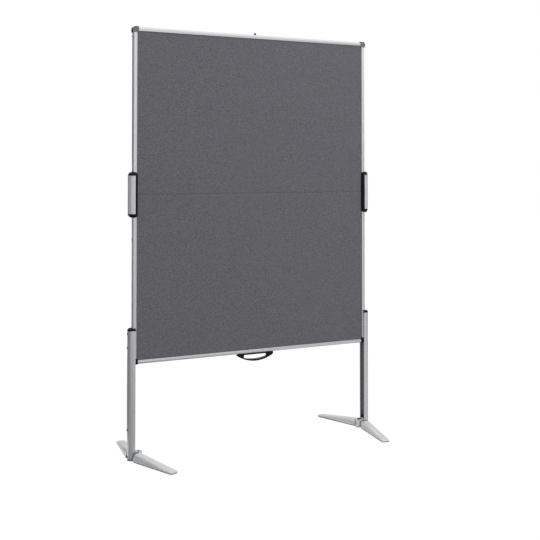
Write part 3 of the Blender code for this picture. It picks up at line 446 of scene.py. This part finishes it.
def cut_across(bm, point, upright):
    """Adds edges where a plane through a point crosses the faces."""
    bmesh.ops.bisect_plane(bm, geom=bm.verts[:] + bm.edges[:] + bm.faces[:], dist=CUT_REACH,
                           plane_co=point, plane_no=upright)


def rail(node, material, outward):
    """A dressed rail whose flat faces fall back towards the felt, along their inner half."""
    bm = merged(node)
    inner = min(vert.co.dot(outward) for vert in bm.verts)
    cut_across(bm, outward * (inner + FALL_REACH), outward)
    front = max(vert.co.y for vert in bm.verts)
    for vert in bm.verts:
        if vert.co.dot(outward) < inner + RIM_REACH and abs(vert.co.y) > front - RIM_REACH:
            vert.co.y -= math.copysign(FALL_DEPTH, vert.co.y)
    finished(bm, node + "_finished", material, nodes[node]["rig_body"], [node], FINE_EDGE)


# Clear anodising leaves aluminium pale and satin, with the die lines drawn coarser than they are
anodised_upright, anodised_level = [
    new_material("clear_anodised_" + name, "#d3d4d6", "#e0e1e3", tint=(DIE_LINE, 2.0, way),
                 skin=(DIE_LINE, 2.0, way), height=DIE_LINE_HEIGHT, rough=(0.34, 0.42),
                 sockets={"Metallic": 0.65})
    for name, way in (("upright", UPRIGHT), ("level", LEVEL))]
for side_name, side in (("left", -1), ("right", 1)):
    for half_name in ("lower", "upper"):
        rail(f"{half_name}_rail_{side_name}", anodised_upright, Vector((side, 0, 0)))
rail("bottom_rail", anodised_level, Vector((0, 0, -1)))
rail("top_rail", anodised_level, Vector((0, 0, 1)))


# The corner caps. Glass-filled nylon mouldings pressed into the ends of the rails, dark grey at the
# top and black at the bottom, with a sunk round centre and the fine grain of a sparked mould.
MOULD_GRAIN = 0.0011
MOULD_HEIGHT = 0.00012
COOLING_PATCH = 0.02
MOULDED_EDGE = 0.0006
CAP_OVERHANG = 1.1
DISH_RADIUS = 0.00325
FACES_FRONT = 0.9


def moulded_nylon(name, dark, light, patch, rough, gloss):
    """Moulded nylon: half matt, a little uneven where it cooled, with spark grain drawn coarse."""
    return new_material(name, dark, light, tint=(patch, 4.0), skin=(MOULD_GRAIN, 3.0),
                        height=MOULD_HEIGHT, rough=rough, sockets={"Specular IOR Level": gloss})


def second_finish(piece, material, test):
    """Gives the faces whose middle and normal pass a test another material."""
    piece.data.materials.append(material)
    for face in piece.data.polygons:
        if test(face.center, face.normal):
            face.material_index = len(piece.data.materials) - 1


# The grey of the caps is a charcoal, their dished centres get a paler copy of it as a painted
# highlight where the dish catches light, and the black is deep
grey_nylon = moulded_nylon("moulded_grey_nylon", "#2e2e2f", "#3d3d3e", COOLING_PATCH,
                           (0.42, 0.55), 0.35)
painted_highlight_grey = moulded_nylon("moulded_grey_nylon_painted_highlight", "#68686a", "#78787a", COOLING_PATCH / 2,
                           (0.42, 0.55), 0.35)
black_nylon = moulded_nylon("moulded_black_nylon", "#070708", "#0e0e0f", COOLING_PATCH,
                            (0.38, 0.52), 0.25)
for side_name, side in (("left", -1), ("right", 1)):
    low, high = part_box("top_corner_cap_" + side_name)
    middle = (low + high) / 2
    cap = dressed("top_corner_cap_" + side_name, grey_nylon, MOULDED_EDGE)
    inner = Vector((low.x if side > 0 else high.x, 0, low.z))
    for vert in cap.data.vertices:
        vert.co.x = inner.x + (vert.co.x - inner.x) * CAP_OVERHANG
        vert.co.z = inner.z + (vert.co.z - inner.z) * CAP_OVERHANG
    # The front faces of each dished centre take the paler grey: a painted highlight
    second_finish(cap, painted_highlight_grey, lambda centre, normal: abs(normal.y) > FACES_FRONT and
                  math.hypot(centre.x - middle.x, centre.z - middle.z) < DISH_RADIUS)
    dressed("bottom_corner_cap_" + side_name, black_nylon, MOULDED_EDGE)


# The rail screws and the catch stud. Blackened pan-head screws hold the upper uprights to the caps,
# and one on each lower upright stops the leg. A turned nylon stud is pressed into the top rail.
SCREW_LABELS = ("Head Radius", "Head Height", "Recess Length", "Recess Width")
RAIL_SCREW = (0.0054, 0.0028, 0.0062, 0.0014)
RAIL_HEAD_HEIGHT = RAIL_SCREW[1]
HEAD_SIDES = 20
HEAD_LAYERS = 3
HEAD_DOME = (0.86, 0.66)
HEAD_SHARP_ANGLE = math.radians(25)
RECESS_LEVEL = 0.85
TURN_SEED = 3
STOP_LEVEL = 0.97
STOP_OFFSET = -0.003
STUD_SPREAD = 1.25


def screw_tree():
    """Sets a domed screw head with a cross recess on each point, turned by chance on its axis."""
    tree = bpy.data.node_groups.new("driven_screws", "GeometryNodeTree")
    tree.interface.new_socket("Screws", in_out="OUTPUT", socket_type="NodeSocketGeometry")
    tree.interface.new_socket("Places", in_out="INPUT", socket_type="NodeSocketGeometry")
    for label in SCREW_LABELS:
        tree.interface.new_socket(label, in_out="INPUT", socket_type="NodeSocketFloat")
    tree.interface.new_socket("Facing", in_out="INPUT", socket_type="NodeSocketVector")
    tree.interface.new_socket("Finish", in_out="INPUT", socket_type="NodeSocketMaterial")
    given = add_node(tree, "NodeGroupInput").outputs
    height = given["Head Height"]
    third = add_node(tree, "ShaderNodeMath", {0: height, 1: 1 / HEAD_LAYERS},
                     operation="MULTIPLY").outputs[0]
    head = add_node(tree, "GeometryNodeMeshCylinder", {
        "Vertices": HEAD_SIDES, "Radius": given["Head Radius"], "Depth": third})
    shape = head.outputs["Mesh"]
    top = head.outputs["Top"]
    for share in HEAD_DOME:
        raised = add_node(tree, "GeometryNodeExtrudeMesh", {
            "Mesh": shape, "Selection": top, "Offset Scale": third, "Individual": False})
        top = raised.outputs["Top"]
        shape = add_node(tree, "GeometryNodeScaleElements", {
            "Geometry": raised.outputs["Mesh"], "Selection": top, "Scale": share}).outputs[0]
    length = given["Recess Length"]
    width = given["Recess Width"]
    bars = []
    for size in ({"X": length, "Y": width, "Z": height}, {"X": width, "Y": length, "Z": height}):
        size = add_node(tree, "ShaderNodeCombineXYZ", size).outputs[0]
        bars.append(add_node(tree, "GeometryNodeMeshCube", {"Size": size}).outputs["Mesh"])
    level = add_node(tree, "ShaderNodeMath", {0: height, 1: RECESS_LEVEL}, operation="MULTIPLY")
    lift = add_node(tree, "ShaderNodeCombineXYZ", {"Z": level.outputs[0]}).outputs[0]
    cross = add_node(tree, "GeometryNodeMeshBoolean", operation="UNION", solver="EXACT")
    for bar in bars:
        tree.links.new(bar, cross.inputs["Mesh 2"])
    cross = add_node(tree, "GeometryNodeTransform", {"Geometry": cross.outputs["Mesh"],
                                                     "Translation": lift})
    screw = add_node(tree, "GeometryNodeMeshBoolean", {"Mesh 1": shape, "Mesh 2": cross.outputs[0]},
                     operation="DIFFERENCE", solver="EXACT")
    spin = add_node(tree, "FunctionNodeRandomValue", {2: 0.0, 3: math.pi, "Seed": TURN_SEED},
                    data_type="FLOAT")
    spin = add_node(tree, "ShaderNodeCombineXYZ", {"Z": spin.outputs[1]}).outputs[0]
    placed = add_node(tree, "GeometryNodeInstanceOnPoints", {
        "Points": given["Places"], "Instance": screw.outputs["Mesh"], "Rotation": given["Facing"]})
    turned = add_node(tree, "GeometryNodeRotateInstances", {
        "Instances": placed.outputs[0], "Rotation": spin, "Local Space": True})
    real = add_node(tree, "GeometryNodeRealizeInstances", {"Geometry": turned.outputs[0]})
    coated = add_node(tree, "GeometryNodeSetMaterial", {"Geometry": real.outputs[0],
                                                        "Material": given["Finish"]})
    add_node(tree, "NodeGroupOutput", {"Screws": coated.outputs[0]})
    return tree


def grown(name, points, tree, inputs):
    """A plain mesh of what a node tree makes from points, with no modifier left."""
    seeds = bpy.data.meshes.new(name + "_seeds")
    seeds.from_pydata(points, [], [])
    seed = bpy.data.objects.new(name + "_seed", seeds)
    bpy.context.scene.collection.objects.link(seed)
    growth = seed.modifiers.new("growth", "NODES")
    growth.node_group = tree
    sockets = {item.name: item.identifier for item in tree.interface.items_tree
               if item.in_out == "INPUT"}
    for label, value in inputs.items():
        growth[sockets[label]] = value
    graph = bpy.context.evaluated_depsgraph_get()
    mesh = bpy.data.meshes.new_from_object(seed.evaluated_get(graph))
    mesh.name = name
    bpy.data.objects.remove(seed)
    bpy.data.meshes.remove(seeds)
    return mesh


driven_screws = screw_tree()


def screws(name, points, facing, sizes, material, body, replaced=()):
    """Screw heads at points, facing along a direction, as one piece on a body."""
    inputs = dict(zip(SCREW_LABELS, sizes))
    inputs["Facing"] = Vector(facing).to_track_quat("Z", "X").to_euler()
    inputs["Finish"] = material
    mesh = grown(name, points, driven_screws, inputs)
    mesh.shade_smooth()
    mesh.set_sharp_from_angle(angle=HEAD_SHARP_ANGLE)
    return new_piece(name, mesh, material, body, replaced)


# Oil-blackened steel: nearly black, with a dull gloss and tool marks drawn coarse on the heads
blackened = new_material("blackened_steel", "#09090a", "#151516", tint=(0.003, 3.0),
                         skin=(0.0006, 2.0), height=0.00004, rough=(0.36, 0.5),
                         sockets={"Metallic": 0.15, "Specular IOR Level": 0.2})

# A head's lowest third is centred on its point. A rail screw's dome ends level with the outer face
# of its solid, and a stop screw's lowest third is sunk in the rail
for side_name, side in (("left", -1), ("right", 1)):
    low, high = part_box("rail_screw_" + side_name)
    seat = (high.x if side > 0 else low.x) - side * RAIL_HEAD_HEIGHT * 5 / 6
    screws("rail_screw_head_" + side_name, [(seat, (low.y + high.y) / 2, (low.z + high.z) / 2)],
           (side, 0, 0), RAIL_SCREW, blackened, "upper_half", ["rail_screw_" + side_name])
    stop_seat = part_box("lower_rail_" + side_name)[side > 0].x - side * RAIL_HEAD_HEIGHT / 6
    screws("stop_screw_head_" + side_name, [(stop_seat, STOP_OFFSET, STOP_LEVEL)], (side, 0, 0),
           RAIL_SCREW, blackened, "lower_half")
stud = dressed("catch_stud", black_nylon, 0)
for vert in stud.data.vertices:
    vert.co.xy *= STUD_SPREAD


# The carry handle. A black nylon moulding screwed under the bottom rail, with a round lower edge,
# a window for the fingers and dished ends.
dressed("carry_handle", black_nylon, 0)


# The fold hinges. Pressed steel leaves, zinc plated, are screwed to the rear face of the board with
# four screws each, and three knuckles turn on a riveted pin.
HINGE_SCREW = (0.0034, 0.0013, 0.0044, 0.001)
HINGE_SCREW_SPREAD = 0.030
HINGE_SCREW_ROWS = (0.022, 0.035)
FOLD_HEIGHT = 1.169
LEAF_FACE = 0.0123

# Bright zinc plate: a cool grey metal, cloudy, with scratches from the press drawn coarse
zinc_plate = new_material("zinc_plated_steel", "#9c9fa1", "#bfc1c2", tint=(0.006, 4.0),
                          skin=(0.0005, 2.0, (1, 1, 12)), height=0.00004, rough=(0.28, 0.42),
                          sockets={"Metallic": 0.9})
for side_name in ("left", "right"):
    dressed("hinge_pin_" + side_name, zinc_plate, FINE_EDGE)
    for half_name, sign in (("lower", -1), ("upper", 1)):
        leaf = f"{half_name}_hinge_leaf_{side_name}"
        dressed(leaf, zinc_plate, FINE_EDGE)
        low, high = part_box(leaf)
        middle = (low.x + high.x) / 2
        points = [(middle + edge * HINGE_SCREW_SPREAD / 2, LEAF_FACE, FOLD_HEIGHT + sign * row)
                  for edge in (-1, 1) for row in HINGE_SCREW_ROWS]
        screws(f"{half_name}_hinge_screws_{side_name}", points, (0, 1, 0), HINGE_SCREW, zinc_plate,
               half_name + "_half")


# The locking sleeves. An aluminium shell with a black nylon liner slides over the fold on each
# side, between two domed nylon end caps. The liner hooks round the front of the rail.
CAP_DOME = 0.4

# Brushed before it was anodised, so the sleeve is duller than the rails and shades more softly. Its
# brush marks are drawn as coarse as the die lines
brushed_anodised = new_material("brushed_anodised_aluminium", "#cbccce", "#d8d9db",
                                tint=(DIE_LINE, 2.0, UPRIGHT), skin=(DIE_LINE, 2.0, UPRIGHT),
                                height=DIE_LINE_HEIGHT, rough=(0.5, 0.58),
                                sockets={"Metallic": 0.4})
for side_name in ("left", "right"):
    dressed("sleeve_shell_" + side_name, brushed_anodised)
    dressed("sleeve_guide_" + side_name, black_nylon)
    for end_name in ("top", "bottom"):
        node = f"sleeve_{end_name}_cap_{side_name}"
        cap = dressed(node, black_nylon, 0)
        low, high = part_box(node)
        base = low.z if end_name == "top" else high.z
        for vert in cap.data.vertices:
            aside = (2 * vert.co.x - low.x - high.x) / (high.x - low.x)
            vert.co.z = base + (vert.co.z - base) * (1 - CAP_DOME * aside ** 2)


# The legs. An open aluminium channel on each side holds a nylon guide that runs on the lower rail,
# a domed cap at its top and a rubber glide at its foot. Blackened screws hold the guide and foot.
RUBBER_GRAIN = 0.0016
RUBBER_HEIGHT = 0.0002
DUST_PATCH = 0.012
CHANNEL_AXIS = 0.603
CHANNEL_ALONG = 0.5
CLAMP_SCREW = (0.0052, 0.0022, 0.0066, 0.0014)
LEG_OUTSIDE = 0.619
SIDE_SCREW_LEVEL = 0.016
HOLE_LEVEL = 0.133


def moulded_rubber(name, dark, light):
    """Moulded rubber: dull, dusty and grained, with the grain drawn coarse."""
    return new_material(name, dark, light, tint=(DUST_PATCH, 3.0), skin=(RUBBER_GRAIN, 3.0),
                        height=RUBBER_HEIGHT, rough=(0.75, 0.88),
                        sockets={"Specular IOR Level": 0.2})


# The rubber of the glides is black and takes all light
black_rubber = moulded_rubber("moulded_black_rubber", "#111112", "#1c1c1d")
# The inside of the channel: duller than the anodised outside, and darker as painted shade for the
# shade that falls inside the open channel
channel_painted_shade = new_material("aluminium_painted_shade_inside", "#85868a", "#9b9ca0",
                           tint=(DIE_LINE * 2, 3.0, UPRIGHT), skin=(DIE_LINE, 2.0, UPRIGHT),
                           height=DIE_LINE_HEIGHT, rough=(0.5, 0.62), sockets={"Metallic": 0.4})
for side_name, side in (("left", -1), ("right", 1)):
    axis = Vector((side * CHANNEL_AXIS, 0, 0))
    channel = dressed("leg_channel_" + side_name, anodised_upright)
    # Faces inside the channel, turned towards its axis, take the darker copy: painted shade
    second_finish(channel, channel_painted_shade, lambda centre, normal: abs(normal.z) < CHANNEL_ALONG and
                  normal.xy.dot((axis - centre).xy) > 0)
    dressed("leg_guide_" + side_name, black_nylon)
    dressed("leg_top_cap_" + side_name, black_nylon, 0)
    dressed("leg_bottom_glide_" + side_name, black_rubber, MOULDED_EDGE)
    levels = [SIDE_SCREW_LEVEL, HOLE_LEVEL]
    clamps = [f"clamp_screw_{name}_{side_name}" for name in ("lower", "upper")]
    for clamp in clamps:
        low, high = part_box(clamp)
        levels.append((low.z + high.z) / 2)
    heads = [(side * LEG_OUTSIDE, 0, level) for level in levels]
    screws("leg_screw_heads_" + side_name, heads, (side, 0, 0), CLAMP_SCREW, blackened,
           "leg_" + side_name, clamps)


# The foot brackets. A die casting in silver-grey lacquer fills the foot of each channel and holds
# the outer rings of the knuckle barrel. A black plug lies on it, washers part the rings, and a pin
# with a black head is driven through them.
CAST_EDGE = 0.0009
PIVOT_X = 0.567
BORE_RADIUS = 0.0043
BORE_SIDES = 20
WASHER_RADIUS = 0.0151
WASHER_SIDES = 32
WASHER_PITCH = 0.00575
WASHER_START = 0.0065
WASHER_COUNT = 5
WASHER_THICKNESS = 0.0004
PLUG_GAP = 0.0002
PLUG_LEAST = 0.0006
PLUG_RISE = 0.014
PLUG_FALL = 0.021
PLUG_TOP = 0.0525
SLOPE_LEVEL = 0.0425
SLOPE_UPWARD = 0.7


def washer_tree():
    """A column of thin flat rings, one above the other, on each point."""
    tree = bpy.data.node_groups.new("barrel_washers", "GeometryNodeTree")
    tree.interface.new_socket("Washers", in_out="OUTPUT", socket_type="NodeSocketGeometry")
    tree.interface.new_socket("Places", in_out="INPUT", socket_type="NodeSocketGeometry")
    tree.interface.new_socket("Count", in_out="INPUT", socket_type="NodeSocketInt")
    for label in ("Pitch", "Radius", "Bore", "Thickness"):
        tree.interface.new_socket(label, in_out="INPUT", socket_type="NodeSocketFloat")
    tree.interface.new_socket("Finish", in_out="INPUT", socket_type="NodeSocketMaterial")
    given = add_node(tree, "NodeGroupInput").outputs
    ring = add_node(tree, "GeometryNodeMeshCylinder", {
        "Vertices": WASHER_SIDES, "Radius": given["Radius"], "Depth": given["Thickness"]})
    bore = add_node(tree, "GeometryNodeMeshCylinder", {
        "Vertices": BORE_SIDES, "Radius": given["Bore"], "Depth": given["Pitch"]})
    washer = add_node(tree, "GeometryNodeMeshBoolean", {
        "Mesh 1": ring.outputs["Mesh"], "Mesh 2": bore.outputs["Mesh"]},
                      operation="DIFFERENCE", solver="EXACT")
    step = add_node(tree, "ShaderNodeCombineXYZ", {"Z": given["Pitch"]}).outputs[0]
    column = add_node(tree, "GeometryNodeMeshLine", {"Count": given["Count"], "Offset": step})
    stack = add_node(tree, "GeometryNodeInstanceOnPoints", {
        "Points": column.outputs[0], "Instance": washer.outputs["Mesh"]})
    placed = add_node(tree, "GeometryNodeInstanceOnPoints", {
        "Points": given["Places"], "Instance": stack.outputs[0]})
    real = add_node(tree, "GeometryNodeRealizeInstances", {"Geometry": placed.outputs[0]})
    coated = add_node(tree, "GeometryNodeSetMaterial", {"Geometry": real.outputs[0],
                                                        "Material": given["Finish"]})
    add_node(tree, "NodeGroupOutput", {"Washers": coated.outputs[0]})
    return tree


def slope_plug(side_name):
    """The black plug on the bracket's sloped top: its outline is the edge of that slope."""
    bm = merged("foot_bracket_" + side_name)
    slope = [face for face in bm.faces
             if face.normal.z > SLOPE_UPWARD and face.calc_center_median().z > SLOPE_LEVEL]
    loop = [vert.co.copy() for vert in max(slope, key=lambda face: face.calc_area()).verts]
    bm.free()
    near = min(abs(point.x) for point in loop)
    far = max(abs(point.x) for point in loop)
    bm = bmesh.new()
    lower = [bm.verts.new(point + Vector((0, 0, PLUG_GAP))) for point in loop]
    upper = []
    for point in loop:
        level = point.z + PLUG_RISE - PLUG_FALL * (abs(point.x) - near) / (far - near)
        level = max(min(level, PLUG_TOP), point.z + PLUG_LEAST)
        upper.append(bm.verts.new((point.x, point.y, level)))
    bm.faces.new(list(reversed(lower)))
    bm.faces.new(upper)
    for i in range(len(loop)):
        j = (i + 1) % len(loop)
        bm.faces.new((lower[i], lower[j], upper[j], upper[i]))
    bmesh.ops.recalc_face_normals(bm, faces=bm.faces)
    finished(bm, "foot_plug_" + side_name, black_nylon, "leg_" + side_name,
             edge=MOULDED_EDGE)


# Sprayed silver-grey lacquer over a die casting: flake, drawn coarse, under a thin half-matt coat
silver_lacquer = new_material("silver_lacquered_casting", "#dedfe1", "#eaebed",
                              tint=(0.0007, 2.0), skin=(0.0025, 2.0), height=0.0001,
                              rough=(0.38, 0.48),
                              sockets={"Metallic": 0.35, "Coat Weight": 0.12,
                                       "Coat Roughness": 0.3})
barrel_washers = washer_tree()
for side_name, side in (("left", -1), ("right", 1)):
    dressed("foot_bracket_" + side_name, silver_lacquer, CAST_EDGE)
    # The pin's blackened head is partly its own finish and partly painted shade for the dark bore
    # at its end
    dressed("pivot_pin_" + side_name, blackened, FINE_EDGE)
    slope_plug(side_name)
    inputs = {"Count": WASHER_COUNT, "Pitch": WASHER_PITCH, "Radius": WASHER_RADIUS,
              "Bore": BORE_RADIUS, "Thickness": WASHER_THICKNESS, "Finish": black_nylon}
    mesh = grown("barrel_washers_" + side_name, [(side * PIVOT_X, 0, WASHER_START)],
                 barrel_washers, inputs)
    new_piece(mesh.name, mesh, black_nylon, "leg_" + side_name)


# The feet. Four hollow die castings in the same lacquer taper to a low round tip, with a fine
# groove above the lower edge. Each has a rubber sole, and a black nylon plate on its inner end
# that stands for the shadow in the gap at the leg: painted shadow.
FOOT_TURNS = {"front_left": 21.5, "rear_left": 3.5, "front_right": 7.0, "rear_right": 21.5}
FOOT_START = 0.0245
FOOT_MIDDLE = 0.0251
GROOVE_END = 0.236
GROOVE_LEVEL = 0.011
GROOVE_SLOPE = 0.012
GROOVE_HEIGHT = 0.0017
GROOVE_DEPTH = 0.0012
SIDEWAYS = 0.8
PLACE_DIGITS = 6
LIP_START = 0.025
LIP_UPRIGHT = 0.4
NECK_END = 0.0242
NECK_RADIUS = 0.016
NECK_UPRIGHT = 0.5
SOLE_EDGE = 0.0005
PLATE_THICKNESS = 0.0017
PLATE_GAP = 0.0002
PLATE_HEIGHT = 0.0348
PLATE_FAR = 0.0498
PLATE_ROUND = 0.018
PLATE_ROUND_STEPS = 6
PLATE_NEAR = 0.0149
PLATE_FOOT = 0.0043


def foot_frame(face_name, side_name):
    """Turns a foot's own terms, across, along and up from its pivot, into places in the world."""
    side = 1 if side_name == "right" else -1
    face = 1 if face_name == "rear" else -1
    turn = math.radians(FOOT_TURNS[face_name + "_" + side_name]) * side * face
    return Matrix.Translation((side * PIVOT_X, 0, 0)) @ Matrix.Rotation(turn, 4, "Z") @ \
        Matrix.Diagonal((side, face, 1, 1))


def groove_level(along):
    """The height of the groove's lower edge at a distance along the foot."""
    return GROOVE_LEVEL - GROOVE_SLOPE * (along - FOOT_START)


def cut_groove(bm, placed):
    """Presses a groove into both sides of a foot, between two sloping planes above its edge."""
    turn = placed.to_3x3()
    for lift in (0, GROOVE_HEIGHT):
        cut_across(bm, placed @ Vector((0, FOOT_START, GROOVE_LEVEL + lift)),
                   (turn @ Vector((0, GROOVE_SLOPE, 1))).normalized())
    back = placed.inverted()
    shift = {}
    faces = []
    for face in bm.faces:
        centre = back @ face.calc_center_median()
        normal = (back.to_3x3() @ face.normal).normalized()
        outward = normal.x * (centre.x - FOOT_MIDDLE) > 0 and abs(normal.x) > SIDEWAYS
        between = 0 < centre.z - groove_level(centre.y) < GROOVE_HEIGHT
        if between and outward and FOOT_START < centre.y < GROOVE_END:
            faces.append(face)
            for vert in face.verts:
                place = tuple(round(value, PLACE_DIGITS) for value in vert.co)
                shift[place] = -math.copysign(GROOVE_DEPTH, normal.x)
    sunk = bmesh.ops.extrude_face_region(bm, geom=faces)["geom"]
    for vert in sunk:
        if isinstance(vert, bmesh.types.BMVert):
            across = shift[tuple(round(value, PLACE_DIGITS) for value in vert.co)]
            vert.co += turn @ Vector((across, 0, 0))


def shadow_gap_plate(foot_name, placed, body):
    """The thin black plate over a foot's inner end, beside the neck of the knuckle: painted shadow
    for the gap at the leg.
    """
    outline = [(PLATE_NEAR, PLATE_FOOT), (PLATE_NEAR, PLATE_HEIGHT)]
    for i in range(PLATE_ROUND_STEPS + 1):
        angle = math.radians(90 - 90 * i / PLATE_ROUND_STEPS)
        outline.append((PLATE_FAR - PLATE_ROUND + PLATE_ROUND * math.cos(angle),
                        PLATE_HEIGHT - PLATE_ROUND + PLATE_ROUND * math.sin(angle)))
    outline.append((PLATE_FAR, PLATE_FOOT))
    bm = bmesh.new()
    rings = []
    for along in (FOOT_START - PLATE_GAP - PLATE_THICKNESS, FOOT_START - PLATE_GAP):
        rings.append([bm.verts.new(placed @ Vector((across, along, z))) for across, z in outline])
    bm.faces.new(rings[0])
    bm.faces.new(list(reversed(rings[1])))
    for i in range(len(outline)):
        j = (i + 1) % len(outline)
        bm.faces.new((rings[0][i], rings[0][j], rings[1][j], rings[1][i]))
    bmesh.ops.recalc_face_normals(bm, faces=bm.faces)
    finished(bm, foot_name + "_shadow_gap_plate", black_nylon, body, edge=FINE_EDGE)


def finish_foot(foot, placed):
    """Paints a highlight on the lip under the groove, and paints the neck beside the barrel black
    as painted shadow.
    """
    back = placed.inverted()

    def on_lip(centre, normal):
        along = (back @ centre).y
        return abs(normal.z) < LIP_UPRIGHT and along > LIP_START and \
            centre.z < groove_level(along)

    def on_neck(centre, normal):
        place = back @ centre
        return abs(normal.z) < NECK_UPRIGHT and place.y < NECK_END and \
            place.xy.length > NECK_RADIUS

    second_finish(foot, lip_painted_highlight, on_lip)
    # The neck's side faces beside the barrel are painted black: painted shadow for the dark gap
    # between the foot and the leg
    second_finish(foot, black_nylon, on_neck)


# Grey rubber for the soles, softer and paler than the glides
grey_rubber = moulded_rubber("moulded_grey_rubber", "#636365", "#6f6f71")
# The lip under the groove: a brighter copy of the lacquer above it, a painted highlight where the
# lip catches light
lip_painted_highlight = new_material("lacquer_painted_highlight_lip", "#e6e7e9", "#f4f5f6", tint=(0.0015, 2.0),
                            skin=(0.001, 2.0), height=0.00005, rough=(0.4, 0.5),
                            sockets={"Metallic": 0.3})
for face_name in ("front", "rear"):
    for side_name in ("left", "right"):
        foot_name = f"foot_{face_name}_{side_name}"
        body = nodes[foot_name]["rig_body"]
        placed = foot_frame(face_name, side_name)
        bm = merged(foot_name)
        cut_groove(bm, placed)
        foot = finished(bm, foot_name + "_finished", silver_lacquer, body, [foot_name],
                        MOULDED_EDGE)
        finish_foot(foot, placed)
        dressed(foot_name + "_sole", grey_rubber, SOLE_EDGE)
        shadow_gap_plate(foot_name, placed, body)
